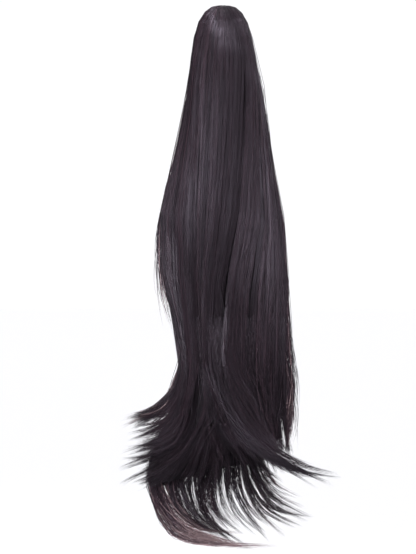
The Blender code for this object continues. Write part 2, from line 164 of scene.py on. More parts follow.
INNER_GUIDES = (
    Guide(0.00, -0.350, -0.0411, -0.4144, -0.0667, -0.4388, -0.1144, -0.4533, -0.010, 0.10),
    Guide(0.13, -0.350, -0.0389, -0.4211, -0.0633, -0.4466, -0.1144, -0.4622, -0.010, 0.10),
    Guide(0.27, -0.350, -0.0389, -0.4322, -0.0633, -0.4577, -0.1178, -0.4766, -0.010, 0.10),
    Guide(0.39, -0.350, -0.0367, -0.4388, -0.0611, -0.4666, -0.1144, -0.4855, -0.008, 0.10),
    Guide(0.48, -0.350, -0.0322, -0.4388, -0.0500, -0.4711, -0.0900, -0.4944, -0.006, 0.00),
    Guide(0.58, -0.350, -0.0189, -0.4322, -0.0278, -0.4688, -0.0478, -0.5055, -0.006, 0.00),
    Guide(0.70, -0.350, -0.0033, -0.4322, -0.0067, -0.4666, -0.0122, -0.5055, -0.006, 0.00),
    Guide(0.84, -0.350, 0.0167, -0.4300, 0.0200, -0.4633, 0.0322, -0.5011, -0.006, 0.00),
    Guide(1.00, -0.350, 0.0367, -0.4255, 0.0467, -0.4555, 0.0722, -0.4855, -0.006, 0.10),
)
UNDER_GUIDES = (
    Guide(0.00, -0.370, 0.0433, -0.4566, 0.0544, -0.4766, 0.0855, -0.4933, 0.004, 0.4),
    Guide(0.12, -0.370, 0.0344, -0.4677, 0.0544, -0.5022, 0.1067, -0.5199, 0.004, 0.4),
    Guide(0.23, -0.370, 0.0211, -0.4699, 0.0344, -0.5088, 0.0722, -0.5366, 0.004, 0.3),
    Guide(0.33, -0.370, 0.0033, -0.4699, 0.0122, -0.5088, 0.0511, -0.5433, 0.005, 0.25),
    Guide(0.42, -0.370, -0.0144, -0.4722, -0.0078, -0.5088, 0.0311, -0.5466, 0.005, 0.25),
    Guide(0.50, -0.370, -0.0278, -0.4744, -0.0200, -0.5122, 0.0233, -0.5499, 0.006, 0.2),
    Guide(0.58, -0.370, -0.0433, -0.4766, -0.0333, -0.5111, 0.0144, -0.5477, 0.006, 0.1),
    Guide(0.76, -0.370, -0.0622, -0.4811, -0.0467, -0.5133, 0.0144, -0.5444, 0.006, 0.3),
    Guide(0.84, -0.370, -0.0722, -0.4833, -0.0511, -0.5188, 0.0356, -0.5499, 0.006, 0.9),
    Guide(1.00, -0.370, -0.0833, -0.4855, -0.0644, -0.5288, 0.0622, -0.5511, 0.006, 0.9),
)
LOOSE_LEFT_GUIDES = (
    Guide(0.00, -0.160, -0.0733, -0.2078, -0.0700, -0.2677, -0.0578, -0.3266, -0.002, 0.3),
    Guide(0.50, -0.160, -0.0711, -0.2078, -0.0667, -0.2655, -0.0511, -0.3166, -0.004, 0.3),
    Guide(1.00, -0.160, -0.0655, -0.2078, -0.0600, -0.2655, -0.0467, -0.3322, -0.006, 0.2),
)
LOOSE_RIGHT_GUIDES = (
    Guide(0.00, -0.230, 0.0689, -0.3100, 0.0733, -0.3744, 0.0744, -0.4455, -0.004, 0.2),
    Guide(0.50, -0.230, 0.0722, -0.3100, 0.0778, -0.3744, 0.0767, -0.4500, -0.002, 0.3),
    Guide(1.00, -0.230, 0.0744, -0.3100, 0.0822, -0.3722, 0.0789, -0.4322, 0.000, 0.3),
)

# The bundles of hair. Share is its part of a full bundle's strands, start is the height of the
# roots, and shallowest and deepest are how far under the surface its strands may lie. Points is how
# many a strand has before its end begins, and ragged is how unequal its wisps' lengths are. Fill
# end is where the dark fill under a bundle stops at x = 0.
Bundle = namedtuple(
    "Bundle",
    "name node guides share clumps points start shallowest deepest ragged fill_end seed")
BUNDLES = (
    Bundle("left_hair", "left_panel", LEFT_GUIDES,
           1.0, 9, 13, 0.0506, 0.0, 0.006, 0.16, -0.370, 11),
    Bundle("centre_hair", "centre_panel", CENTRE_GUIDES,
           1.0, 13, 13, 0.0506, 0.0, 0.006, 0.20, -0.415, 23),
    Bundle("right_hair", "right_panel", RIGHT_GUIDES,
           1.0, 14, 13, 0.0506, 0.0, 0.006, 0.24, -0.410, 37),
    Bundle("under_hair", "under_panel", UNDER_GUIDES,
           1.15, 16, 9, -0.0273, 0.0, 0.006, 0.16, -0.466, 53),
    Bundle("inner_hair", "under_panel", INNER_GUIDES,
           1.6, 16, 4, -0.2900, 0.010, 0.016, 0.34, None, 71),
    Bundle("loose_left_hair", "left_panel", LOOSE_LEFT_GUIDES,
           0.04, 9, 6, -0.1000, 0.0, 0.002, 0.30, None, 83),
    Bundle("loose_right_hair", "right_panel", LOOSE_RIGHT_GUIDES,
           0.04, 9, 6, -0.1600, 0.0, 0.002, 0.30, None, 97),
)
# The fills' lower ends rise this much to the right, as the dark body of the hair does.
FILL_SLOPE = 0.22
# Towards their lower ends they narrow by this share over this length.
FILL_TAPER = 0.12
FILL_TAPER_LENGTH = 0.05
# How far round from the outer hair's rim the loose strands lie, in degrees.
LOOSE_BAND = 9
# The fall's two rims get painted back light, a warmer tone for light coming through from behind:
# where they lie across their bundles, how far that reaches, and how much it adds to a strand's
# tone.
RIM_PLACES = {
    "left_hair": 0.05,
    "right_hair": 0.95,
    "loose_left_hair": 0.5,
    "loose_right_hair": 0.5,
}
RIM_REACH = 0.09
RIM_PAINTED_BACKLIGHT = 0.35
# How deep a strand's colour is, from 0 at the darkest to 1 at the lightest: the middle, how far
# clumps and single strands differ from it, what stray strands add, and the lightest before the tip.
MAIN_TONE = 0.38
CLUMP_TONE = 0.18
STRAND_TONE = 0.15
STRAY_TONE = 0.10
LIGHTEST_TONE = 0.75

# Sides of a strand's tube, points on its free end, and the part of its length that its tip tapers.
STRAND_SIDES = 3
END_POINTS = 11
TIP_LENGTH_SHARE = 0.22
# Above its end a strand's points crowd towards the crown, where the fall bends most: the power that
# crowds them, and the share of the way that they still take in even steps.
TRUNK_CROWDING = 2.9
CROWN_STEP_SHARE = 0.14
# Over what height the roots of a bundle are spread, at the crown and further down.
CROWN_ROOT_SPREAD = 0.002
LOWER_ROOT_SPREAD = 0.030
# How far below its roots the hair is free to rise and sink, and the share of its relief there.
FREE_LENGTH = 0.13
CROWN_RELIEF = 0.15
# The fall is never thinner than this, in half width and half depth.
LEAST_HALF_WIDTH = 0.0002

# The hair of a bundle lies in clumps side by side. These are shares of a clump's even width: how
# far its middle strays, its least and greatest half width, and how far it drifts along the fall.
CLUMP_STRAY = 0.3
CLUMP_HALF_WIDTH = (0.55, 0.95)
CLUMP_DRIFT = (0.1, 0.4)
# How much a clump widens and narrows along the fall, as a share of its half width.
CLUMP_GATHER = 0.3
# Lengths of the slow waves in which clumps drift, gather and billow, and in which strands wobble.
DRIFT_LENGTH = (0.20, 0.45)
GATHER_LENGTH = (0.25, 0.5)
BILLOW_LENGTH = (0.12, 0.30)
WOBBLE_LENGTH = (0.15, 0.4)
# How far a strand wobbles, as a share of its bundle's width.
WOBBLE = 0.006
# A strand's place in its clump, in half widths: how it scatters, and the furthest that it lies out.
STRAND_SCATTER = 0.55
STRAND_REACH = 1.4
# Shares of the clump relief: how far whole clumps lie under others, and how far edges sink.
CLUMP_SINK = 0.7
EDGE_SINK = 0.9
# How far single strands sink under the surface, and how far stray ones stand off it.
STRAND_SINK = 0.0009
STRAY_RISE = 0.0005
# How much more than others stray strands wobble and scatter.
STRAY_FACTOR = 3.0

# Where strands leave the fall: how far that height scatters, how far a strand scatters across its
# bundle there, and how far above it the fall's own direction is read.
ROOT_SCATTER = 0.010
PLACE_SCATTER = 0.02
LEAD_IN = 0.02
# In the ends: how far wisps lie in front of each other, how much the fall's own layers count, how
# far strands scatter at each guide point, and how much shorter than its wisp a strand may be.
WISP_LAYERS = 0.0022
FALL_LAYERS = 1.2
END_SCATTER = 0.0012
SHORTER_SHARE = 0.14
# Small wisps in a bundle, and at each guide point: how far a wisp's strands have drawn together,
# how strongly the wisps between two guides keep to the nearer one, how far a wisp strays from its
# guides, and how much of the way to the tips' depth it has gone.
WISPS = 70
WISP_DRAW = (0.15, 0.45, 0.80)
GUIDE_PULL = (1.0, 1.1, 1.35)
WISP_STRAY = (0.0008, 0.0022, 0.0052)
END_DEPTH_SHARE = (0.45, 0.8, 1.0)

# Points closer together than this are one point, on a solid's copy and on a strand's closed ends.
SOLID_MERGE = 0.00001
STRAND_MERGE = 0.0000005
# Faces of the claw that meet at less than this angle, in radians, are one flat face.
FLAT_ANGLE = 0.01

# A light's power is in watts and its spread in degrees.
Light = namedtuple("Light", "name place target size power spread")


def srgb(code):
    """Linear colour, with alpha, from an sRGB hex code such as 3a3038."""
    parts = [int(code[i:i + 2], 16) / 255 for i in (0, 2, 4)]
    return [p / 12.92 if p <= 0.04045 else ((p + 0.055) / 1.055) ** 2.4 for p in parts] + [1.0]


class HairSettings(bpy.types.PropertyGroup):
    """Strands and colours of the hair."""

    strands: IntProperty(
        name="Strands", description="Strands in a full bundle", default=1400, min=1)
    strand_width: FloatProperty(
        name="Strand width", description="Width of a strand before its tip", default=0.00052,
        min=0.0001, unit="LENGTH")
    tip_share: FloatProperty(
        name="Tip", description="Width of a strand's tip as a share of its width", default=0.25,
        min=0.0, max=1.0, subtype="FACTOR")
    relief: FloatProperty(
        name="Clump relief", description="How far a clump's edges lie below its middle",
        default=0.0020, unit="LENGTH")
    billow: FloatProperty(
        name="Billow", description="How far a clump rises and sinks along the fall",
        default=0.0012, unit="LENGTH")
    flyaway_share: FloatProperty(
        name="Fly-away share", description="Part of the strands that stray from the fall",
        default=0.015, min=0.0, max=1.0, subtype="FACTOR")
    fill_inset: FloatProperty(
        name="Fill inset", description="How far the dark fill lies under the solids' faces",
        default=0.0034, unit="LENGTH")
    shade_colour: FloatVectorProperty(
        name="Shade colour", description="Darkest strands", subtype="COLOR", size=4,
        default=srgb("0b080a"))
    main_colour: FloatVectorProperty(
        name="Main colour", description="Most of the strands", subtype="COLOR", size=4,
        default=srgb("171216"))
    warm_colour: FloatVectorProperty(
        name="Warm colour", description="Reddish strands", subtype="COLOR", size=4,
        default=srgb("2d2127"))
    # Painted light: the colour of the thinnest tips with light passing through them.
    tip_through_light_colour: FloatVectorProperty(
        name="Tip colour", description="Thinnest tips, lit from behind", subtype="COLOR", size=4,
        default=srgb("7c6a6c"))
    gloss_colour: FloatVectorProperty(
        name="Gloss colour", description="Tint of the fibre's highlights", subtype="COLOR",
        size=4, default=srgb("f4e8ff"))


class ClawSettings(bpy.types.PropertyGroup):
    """Finish of the claw clip inside the crown."""

    edge_rounding: FloatProperty(
        name="Edge rounding", description="Radius on the moulded edges", default=0.0004,
        unit="LENGTH")
    colour: FloatVectorProperty(
        name="Colour", description="Colour of the moulded claw", subtype="COLOR", size=4,
        default=srgb("191718"))


class StudioSettings(bpy.types.PropertyGroup):
    """Floor, lights and camera."""

    floor_drop: FloatProperty(
        name="Floor drop", description="From the lowest tip down to the floor", default=0.20,
        unit="LENGTH")
    floor_radius: FloatProperty(
        name="Floor radius", description="Size of the round floor", default=40.0, unit="LENGTH")
    camera_distance: FloatProperty(
        name="Camera distance", description="From the hairpiece's middle", default=3.0,
        unit="LENGTH")
    framed_height: FloatProperty(
        name="Framed height", description="Height that the picture takes in", default=0.6155,
        unit="LENGTH")
    centre_x: FloatProperty(
        name="Centre across", description="Picture's middle, across", default=-0.0167,
        unit="LENGTH")
    centre_z: FloatProperty(
        name="Centre height", description="Picture's middle, up", default=-0.251, unit="LENGTH")
    paper_colour: FloatVectorProperty(
        name="Paper colour", description="Floor and surroundings", subtype="COLOR", size=4,
        default=srgb("fcfcfe"))
    flag_size: FloatVectorProperty(
        name="Flag size", description="Width and height of the black cloth behind the camera",
        size=2, default=(6.0, 3.6), unit="LENGTH")
    flag_height: FloatProperty(
        name="Flag height", description="Height of the cloth's middle", default=-0.25,
        unit="LENGTH")
    flag_distance: FloatProperty(
        name="Flag distance", description="From the hairpiece to the black cloth", default=3.5,
        unit="LENGTH")
    crown_power: FloatProperty(
        name="Crown light", description="Power of the high front light", default=2.6,
        unit="POWER")
    top_power: FloatProperty(
        name="Top light", description="Power of the light over the crown", default=0.32,
        unit="POWER")
    front_power: FloatProperty(
        name="Front light", description="Power of the level front light", default=8.4,
        unit="POWER")
    side_power: FloatProperty(
        name="Side light", description="Power of the left light, ten times the right one's",
        default=0.7, unit="POWER")
    sweep_power: FloatProperty(
        name="Sweep light", description="Power of the light on the ends", default=0.5,
        unit="POWER")
    world_strength: FloatProperty(
        name="Surroundings", description="Brightness of the white surroundings", default=1.05)


def add_node(tree, kind, settings=(), links=()):
    """Adds a node, sets its inputs or properties by name, and links outputs to its inputs."""
    node = tree.nodes.new(kind)
    for name, value in dict(settings).items():
        if name in node.inputs:
            node.inputs[name].default_value = value
        else:
            setattr(node, name, value)
    for name, output in dict(links).items():
        tree.links.new(output, node.inputs[name])
    return node


def new_material(name):
    """An empty node material."""
    material = bpy.data.materials.new(name)
    material.use_nodes = True
    material.node_tree.nodes.clear()
    return material


def set_stops(ramp_node, stops):
    """Gives a colour ramp its stops, as pairs of place and colour."""
    elements = ramp_node.color_ramp.elements
    for spare in range(len(elements), len(stops)):
        elements.new(spare / len(stops))
    for element, (place, colour) in zip(elements, stops):
        element.position = place
        element.color = colour


def fibre_material(hair):
    """Heat-resistant synthetic hair fibre, extruded: smooth, faintly glossy, purple-brown black.

    Each strand has its own depth of colour. Its thin tips are painted warmer and lighter for the
    light that passes through them, and the fall's rims warmer for light from behind: both painted
    light.
    The tone attribute holds all three.
    """
    material = new_material("heat-resistant synthetic hair fibre")
    tree = material.node_tree
    tone = add_node(tree, "ShaderNodeAttribute", {"attribute_name": "tone"})
    strand = add_node(tree, "ShaderNodeValToRGB", links={"Fac": tone.outputs["Fac"]})
    # The warm and tip stops also carry the painted light of the rims and of the thin tips.
    set_stops(strand, ((0.0, hair.shade_colour), (0.5, hair.main_colour),
                       (0.85, hair.warm_colour), (1.0, hair.tip_through_light_colour)))
    gloss = add_node(tree, "ShaderNodeMapRange", {"To Min": 0.34, "To Max": 0.22},
                     {"Value": tone.outputs["Fac"]})
    shader = add_node(tree, "ShaderNodeBsdfPrincipled",
                      {"IOR": 1.50, "Specular IOR Level": 0.18,
                       "Specular Tint": hair.gloss_colour},
                      {"Base Color": strand.outputs["Color"],
                       "Roughness": gloss.outputs["Result"]})
    add_node(tree, "ShaderNodeOutputMaterial", links={"Surface": shader.outputs["BSDF"]})
    return material


def packed_fibre_material(hair):
    """Packed synthetic fibre, coloured nearly black as painted shade of the hair's depths: matt,
    streaked along the fall.
    """
    material = new_material("packed synthetic fibre in shade")
    tree = material.node_tree
    place = add_node(tree, "ShaderNodeTexCoord")
    # Streaks a millimetre wide and some 80 mm long.
    stretch = add_node(tree, "ShaderNodeMapping", {"Scale": (1000.0, 1000.0, 12.0)},
                       {"Vector": place.outputs["Object"]})
    streaks = add_node(tree, "ShaderNodeTexNoise", {"Scale": 1.0, "Detail": 3.0},
                       {"Vector": stretch.outputs["Vector"]})
    shades = add_node(tree, "ShaderNodeValToRGB", links={"Fac": streaks.outputs["Fac"]})
    # Painted shade: streaks nearly black, darker than any strand, for the shade deep in the hair.
    set_stops(shades, ((0.3, srgb("050405")), (0.7, hair.shade_colour)))
    relief = add_node(tree, "ShaderNodeBump", {"Strength": 0.5, "Distance": 0.0006},
                      {"Height": streaks.outputs["Fac"]})
    shader = add_node(tree, "ShaderNodeBsdfPrincipled",
                      {"Roughness": 0.6, "IOR": 1.45, "Specular IOR Level": 0.08,
                       "Specular Tint": hair.gloss_colour},
                      {"Base Color": shades.outputs["Color"], "Normal": relief.outputs["Normal"]})
    add_node(tree, "ShaderNodeOutputMaterial", links={"Surface": shader.outputs["BSDF"]})
    return material


def moulded_black_material(claw):
    """Injection-moulded ABS: smooth black plastic with the fine mottle of a worn mould."""
    material = new_material("injection-moulded black ABS")
    tree = material.node_tree
    place = add_node(tree, "ShaderNodeTexCoord")
    # Mottle of about 1.5 mm.
    mottle = add_node(tree, "ShaderNodeTexNoise", {"Scale": 650.0, "Detail": 2.0},
                      {"Vector": place.outputs["Object"]})
    gloss = add_node(tree, "ShaderNodeMapRange", {"To Min": 0.24, "To Max": 0.42},
                     {"Value": mottle.outputs["Fac"]})
    relief = add_node(tree, "ShaderNodeBump", {"Strength": 0.15, "Distance": 0.0002},
                      {"Height": mottle.outputs["Fac"]})
    shader = add_node(tree, "ShaderNodeBsdfPrincipled", {"Base Color": claw.colour, "IOR": 1.54},
                      {"Roughness": gloss.outputs["Result"], "Normal": relief.outputs["Normal"]})
    add_node(tree, "ShaderNodeOutputMaterial", links={"Surface": shader.outputs["BSDF"]})
    return material


def paper_material(studio):
    """Seamless background paper: matt and near white."""
    material = new_material("seamless background paper")
    tree = material.node_tree
    shader = add_node(tree, "ShaderNodeBsdfPrincipled",
                      {"Base Color": studio.paper_colour, "Roughness": 0.9})
    add_node(tree, "ShaderNodeOutputMaterial", links={"Surface": shader.outputs["BSDF"]})
    return material


def cloth_material():
    """Black studio cloth: napped cotton, matt."""
    material = new_material("black studio cloth")
    tree = material.node_tree
    shader = add_node(tree, "ShaderNodeBsdfPrincipled",
                      {"Base Color": srgb("0a0a0a"), "Roughness": 1.0})
    add_node(tree, "ShaderNodeOutputMaterial", links={"Surface": shader.outputs["BSDF"]})
    return material


def blend(t, width, low, high, leaving, arriving):
    """A smooth curve between two values with given slopes, at the share t of the way."""
    return ((1 + 2 * t) * (1 - t) ** 2 * low + t * t * (3 - 2 * t) * high
            + t * (1 - t) ** 2 * width * leaving + t * t * (t - 1) * width * arriving)


def smooth_line(at, known, values):
    """A smooth line through known points, read at other places."""
    slopes = np.gradient(values, known)
    spot = np.clip(np.searchsorted(known, at) - 1, 0, len(known) - 2)
    width = known[spot + 1] - known[spot]
    t = (at - known[spot]) / width
    return blend(t, width, values[spot], values[spot + 1], slopes[spot], slopes[spot + 1])


def make_track():
    """The stations as smooth columns along the front's length, with the surface's lean."""
    table = {name: np.array([row[i] for row in STATIONS], float)
             for i, name in enumerate(Station._fields)}
    steps = np.hypot(np.diff(table["height"]), np.diff(table["deep"]))
    known = np.concatenate(([0.0], np.cumsum(steps)))
    run = np.arange(0.0, known[-1], TRACK_STEP)
    track = {name: smooth_line(run, known, values) for name, values in table.items()}
    rise = np.gradient(track["height"], run)
    spread = np.gradient(track["deep"], run)
    length = np.hypot(rise, spread)
    track["run"] = run
    track["out"] = -rise / length
    track["up"] = spread / length
    return track


def run_at(track, height):
    """Length along the front from the apex down to a height."""
    return np.interp(-height, -track["height"], track["run"])


def parting_depth(bundle, at, arc, across):
    """How much deeper strands lie near the partings, or less deep where they lap over."""
    from_start = np.maximum(across, 0) * arc
    from_end = np.maximum(1 - across, 0) * arc
    groove_depth = GROOVE_DEPTH * np.clip(arc / GROOVE_FULL_ARC, 0, 1) ** 2
    if bundle.name == "centre_hair":
        groove = groove_depth * (
            np.exp(-(from_start / GROOVE_REACH) ** 2) + np.exp(-(from_end / GROOVE_REACH) ** 2))
        return groove + at["lap"] * (LAP_DIP_LEFT * np.exp(-(from_start / LAP_REACH) ** 2)
                                     + LAP_DIP_RIGHT * np.exp(-(from_end / LAP_REACH) ** 2))
    sides = {"left_hair": (from_end, LAP_RISE_LEFT), "right_hair": (from_start, LAP_RISE_RIGHT)}
    if bundle.name not in sides:
        return 0.0
    from_parting, rise = sides[bundle.name]
    groove = groove_depth * (1 - at["lap"]) * np.exp(-(from_parting / GROOVE_SIDE_REACH) ** 2)
    return groove - rise * at["lap"] * np.exp(-(from_parting / LAP_REACH) ** 2)


def on_fall(track, bundle, run, across, depth):
    """Points of the fall: along it from the apex, across the bundle, and under its surface."""
    at = {name: np.interp(run, track["run"], values) for name, values in track.items()}
    edges = {
        "left_hair": (-at["wrap"], at["left"]),
        "centre_hair": (at["left"], at["right"]),
        "right_hair": (at["right"], at["wrap"]),
        "under_hair": (at["wrap"], 360 - at["wrap"]),
        "inner_hair": (-at["wrap"], at["wrap"]),
        "loose_left_hair": (-at["wrap"], LOOSE_BAND - at["wrap"]),
        "loose_right_hair": (at["wrap"] - LOOSE_BAND, at["wrap"]),
    }
    start, end = edges[bundle.name]
    angle = np.radians(start + (end - start) * across)
    wide = at["wide"]
    deep = at["deep"]
    depth = depth + parting_depth(bundle, at, np.radians(end - start) * wide, across)
    if bundle.name == "under_hair":
        wide = CLAW_HALF_WIDTH + (wide - CLAW_HALF_WIDTH) * at["back"]
        deep = CLAW_HALF_DEPTH + (deep - CLAW_HALF_DEPTH) * at["back"]
    wide = np.maximum(wide - depth * at["out"], LEAST_HALF_WIDTH)
    deep = np.maximum(deep - depth * at["out"], LEAST_HALF_WIDTH)
    x = at["shift"] + wide * np.sin(angle)
    y = -deep * np.cos(angle)
    z = at["height"] - depth * at["up"]
    return np.stack((x, y, z), axis=-1)


def wave(run, length, phase):
    """A slow wave along the fall."""
    return np.sin(2 * pi * (run / length + phase))


def through(knots, shares):
    """Smooth curves through each strand's knots, read at shares of the way from its second knot."""
    gaps = np.linalg.norm(np.diff(knots, axis=1), axis=2)
    known = np.concatenate((np.zeros((len(knots), 1)), np.cumsum(gaps, axis=1)), axis=1)
    slopes = np.empty_like(knots)
    steps = np.diff(knots, axis=1) / gaps[:, :, None]
    slopes[:, 0] = steps[:, 0]
    slopes[:, -1] = steps[:, -1]
    before = gaps[:, :-1, None]
    after = gaps[:, 1:, None]
    slopes[:, 1:-1] = (steps[:, :-1] * after + steps[:, 1:] * before) / (before + after)
    at = known[:, 1, None] + (known[:, -1] - known[:, 1])[:, None] * shares
    spot = np.clip((at[:, :, None] >= known[:, None, :]).sum(axis=2) - 1, 0, knots.shape[1] - 2)
    row = np.arange(len(knots))[:, None]
    width = gaps[row, spot][:, :, None]
    t = ((at - known[row, spot]) / gaps[row, spot])[:, :, None]
    return blend(t, width, knots[row, spot], knots[row, spot + 1],
                 slopes[row, spot], slopes[row, spot + 1])


def comb(track, bundle, hair, random):
    """Where each strand of a bundle runs down the fall, its colour's depth, and how loose it is.

    The random draws keep their order, because the hair's likeness to the photo rests on it.
    """
    count = round(hair.strands * bundle.share)
    clumps = bundle.clumps
    clump = random.integers(clumps, size=count)
    middle = (np.arange(clumps) + 0.5
              + random.uniform(-CLUMP_STRAY, CLUMP_STRAY, clumps)) / clumps
    half = random.uniform(*CLUMP_HALF_WIDTH, clumps) / clumps
    lift = random.uniform(0.0, 1.0, clumps)
    shade = random.uniform(-1.0, 1.0, clumps)
    drift = random.uniform(*CLUMP_DRIFT, clumps) / clumps
    drift_length = random.uniform(*DRIFT_LENGTH, clumps)
    drift_phase = random.uniform(0, 1, clumps)
    gather_length = random.uniform(*GATHER_LENGTH, clumps)
    gather_phase = random.uniform(0, 1, clumps)
    billow_length = random.uniform(*BILLOW_LENGTH, clumps)
    billow_phase = random.uniform(0, 1, clumps)
    offset = np.clip(random.normal(0, STRAND_SCATTER, count), -STRAND_REACH, STRAND_REACH)
    stray = random.random(count) < hair.flyaway_share
    loose = np.where(stray, STRAY_FACTOR, 1.0)
    depth = hair.relief * (CLUMP_SINK * lift[clump] + EDGE_SINK * offset ** 2)
    depth += random.exponential(STRAND_SINK, count)
    depth = np.where(stray, -random.exponential(STRAY_RISE, count), depth)
    depth = bundle.shallowest + np.minimum(depth, bundle.deepest - bundle.shallowest)
    tone = (MAIN_TONE + CLUMP_TONE * shade[clump] + random.normal(0, STRAND_TONE, count)
            + STRAY_TONE * stray)
    root_spread = CROWN_ROOT_SPREAD if bundle.start > CLAW_RIM else LOWER_ROOT_SPREAD
    first = run_at(track, bundle.start) + random.uniform(0, root_spread, count)
    wobble_length = random.uniform(*WOBBLE_LENGTH, count)
    wobble_phase = random.uniform(0, 1, count)
    wobble = random.normal(0, WOBBLE, count) * loose

    def across(run):
        """Place across the bundle, 0 to 1, at lengths along the fall."""
        gather = 1 + CLUMP_GATHER * wave(
            run, gather_length[clump, None], gather_phase[clump, None])
        place = middle[clump, None] + half[clump, None] * offset[:, None] * gather
        place = place + drift[clump, None] * wave(
            run, drift_length[clump, None], drift_phase[clump, None])
        return place + wobble[:, None] * wave(run, wobble_length[:, None], wobble_phase[:, None])

    def under(run):
        """Depth under the surface at lengths along the fall."""
        free = np.clip((run - first[:, None]) / FREE_LENGTH, 0, 1)
        free = free * free * (3 - 2 * free)
        rise = hair.billow * wave(run, billow_length[clump, None], billow_phase[clump, None])
        return depth[:, None] * (CROWN_RELIEF + (1 - CROWN_RELIEF) * free) - free * rise

    return across, under, depth, np.clip(tone, 0, LIGHTEST_TONE), first, loose


def pulled(place, guide_places, pull):
    """Places across a bundle, drawn towards the nearer guide."""
    spot = np.clip(np.searchsorted(guide_places, place) - 1, 0, len(guide_places) - 2)
    low = guide_places[spot]
    width = guide_places[spot + 1] - low
    t = np.clip((place - low) / width, 0, 1)
    return low + width * t ** pull / (t ** pull + (1 - t) ** pull)


def strand_paths(track, bundle, hair, random):
    """The points of every strand of a bundle, from its root to its tip, and its colour depth."""
    across, under, depth, tone, first, loose = comb(track, bundle, hair, random)
    count = len(depth)
    guides = {name: np.array([getattr(guide, name) for guide in bundle.guides])
              for name in Guide._fields}

    def guided(name, place):
        """A column of the guides, read at places across the bundle."""
        return np.interp(place, guides["place"], guides[name])

    # A strand's place across the bundle where the ends begin decides which guides it follows.
    typical_root = run_at(track, guides["root"].mean())
    place = across(np.full((count, 1), typical_root))[:, 0]
    place = np.clip(place + random.normal(0, PLACE_SCATTER, count), 0.0, 1.0)
    # Painted back light: strands near the fall's rims are made warmer, for light coming through
    # from behind.
    if bundle.name in RIM_PLACES:
        tone += RIM_PAINTED_BACKLIGHT * np.exp(-((place - RIM_PLACES[bundle.name]) / RIM_REACH) ** 2)
    wisp = np.minimum((place * WISPS).astype(int), WISPS - 1)
    wisp_middle = (np.arange(WISPS) + random.uniform(0.2, 0.8, WISPS)) / WISPS
    root = run_at(track, guided("root", place) + random.normal(0, ROOT_SCATTER, count))
    steps = np.linspace(0, 1, bundle.points)
    steps = CROWN_STEP_SHARE * steps + (1 - CROWN_STEP_SHARE) * steps ** TRUNK_CROWDING
    run = first[:, None] + (root - first)[:, None] * steps
    trunk = on_fall(track, bundle, run, across(run), under(run))
    before = root[:, None] - LEAD_IN
    back = on_fall(track, bundle, before, across(before), under(before))[:, 0]
    start = trunk[:, -1]

    wisp_shift = random.normal(0, 1, (WISPS, 3, 2))
    layer = random.normal(0, WISP_LAYERS, WISPS)[wisp]
    layer = layer + FALL_LAYERS * (depth - bundle.shallowest)
    knots = [back, start]
    for k, (draw, pull) in enumerate(zip(WISP_DRAW, GUIDE_PULL)):
        drawn = place + (wisp_middle[wisp] - place) * draw
        drawn = pulled(drawn, guides["place"], pull)
        x = guided(f"x{k + 1}", drawn) + wisp_shift[wisp, k, 0] * WISP_STRAY[k]
        z = guided(f"z{k + 1}", drawn) + wisp_shift[wisp, k, 1] * WISP_STRAY[k]
        y = start[:, 1] + (guided("depth", drawn) + layer - start[:, 1]) * END_DEPTH_SHARE[k]
        point = np.stack((x, y, z), axis=-1)
        knots.append(point + random.normal(0, END_SCATTER, (count, 3)) * loose[:, None])
    length = 1 - bundle.ragged * random.random(WISPS)[wisp]
    length = length - SHORTER_SHARE * random.random(count) ** 2
    steps = np.arange(1, END_POINTS + 1) / END_POINTS
    ends = through(np.stack(knots, axis=1), length[:, None] * steps)
    # Painted light: towards the tips strands grow warmer and lighter, for light passing through the
    # thin ends.
    painted_tip_light = np.concatenate((np.zeros(bundle.points), steps ** 2))
    tones = tone[:, None] + guided("warm", place)[:, None] * painted_tip_light
    return np.concatenate((trunk, ends), axis=1), np.clip(tones, 0, 1)


def strand_profile():
    """The cross-section of a strand: a small closed ring of unit radius."""
    curve = bpy.data.curves.new("strand_profile", "CURVE")
    curve.dimensions = "2D"
    ring = curve.splines.new("POLY")
    ring.points.add(STRAND_SIDES - 1)
    for point, angle in zip(ring.points, np.arange(STRAND_SIDES) * 2 * pi / STRAND_SIDES):
        point.co = (np.cos(angle), np.sin(angle), 0, 1)
    ring.use_cyclic_u = True
    profile = bpy.data.objects.new("strand_profile", curve)
    profile.hide_render = True
    bpy.context.scene.collection.objects.link(profile)
    return profile


def grow(name, paths, tones, hair):
    """One mesh of tapered tubes along the strands' paths."""
    count, points = paths.shape[:2]
    along = np.linspace(0, 1, points)
    taper = np.clip((1 - along) / TIP_LENGTH_SHARE, 0, 1) * (1 - hair.tip_share) + hair.tip_share
    radius = taper * hair.strand_width / 2
    radius[[0, -1]] = 0.0
    profile = strand_profile()
    curve = bpy.data.curves.new(name, "CURVE")
    curve.dimensions = "3D"
    curve.bevel_mode = "OBJECT"
    curve.bevel_object = profile
    places = np.concatenate((paths, np.ones((count, points, 1))), axis=2)
    for place in places:
        strand = curve.splines.new("POLY")
        strand.points.add(points - 1)
        strand.points.foreach_set("co", place.ravel())
        strand.points.foreach_set("radius", radius)
        strand.use_smooth = True
    guide = bpy.data.objects.new(name + "_guide", curve)
    bpy.context.scene.collection.objects.link(guide)
    bpy.context.view_layer.update()
    shown = guide.evaluated_get(bpy.context.evaluated_depsgraph_get())
    mesh = bpy.data.meshes.new_from_object(shown)
    mesh.name = name
    bpy.data.objects.remove(guide)
    bpy.data.objects.remove(profile)
    each = points * STRAND_SIDES
    if len(mesh.vertices) != count * each:
        raise RuntimeError(f"{name}: {len(mesh.vertices)} corners, not {count * each}")
    tone = mesh.attributes.new("tone", "FLOAT", "POINT")
    tone.data.foreach_set("value", np.repeat(tones.ravel(), STRAND_SIDES).astype(np.float32))
    # Both ends run out to nothing, and their rings close to a point.
    shape = bmesh.new()
    shape.from_mesh(mesh)
    bmesh.ops.remove_doubles(shape, verts=shape.verts, dist=STRAND_MERGE)
    shape.to_mesh(mesh)
    shape.free()
    return mesh


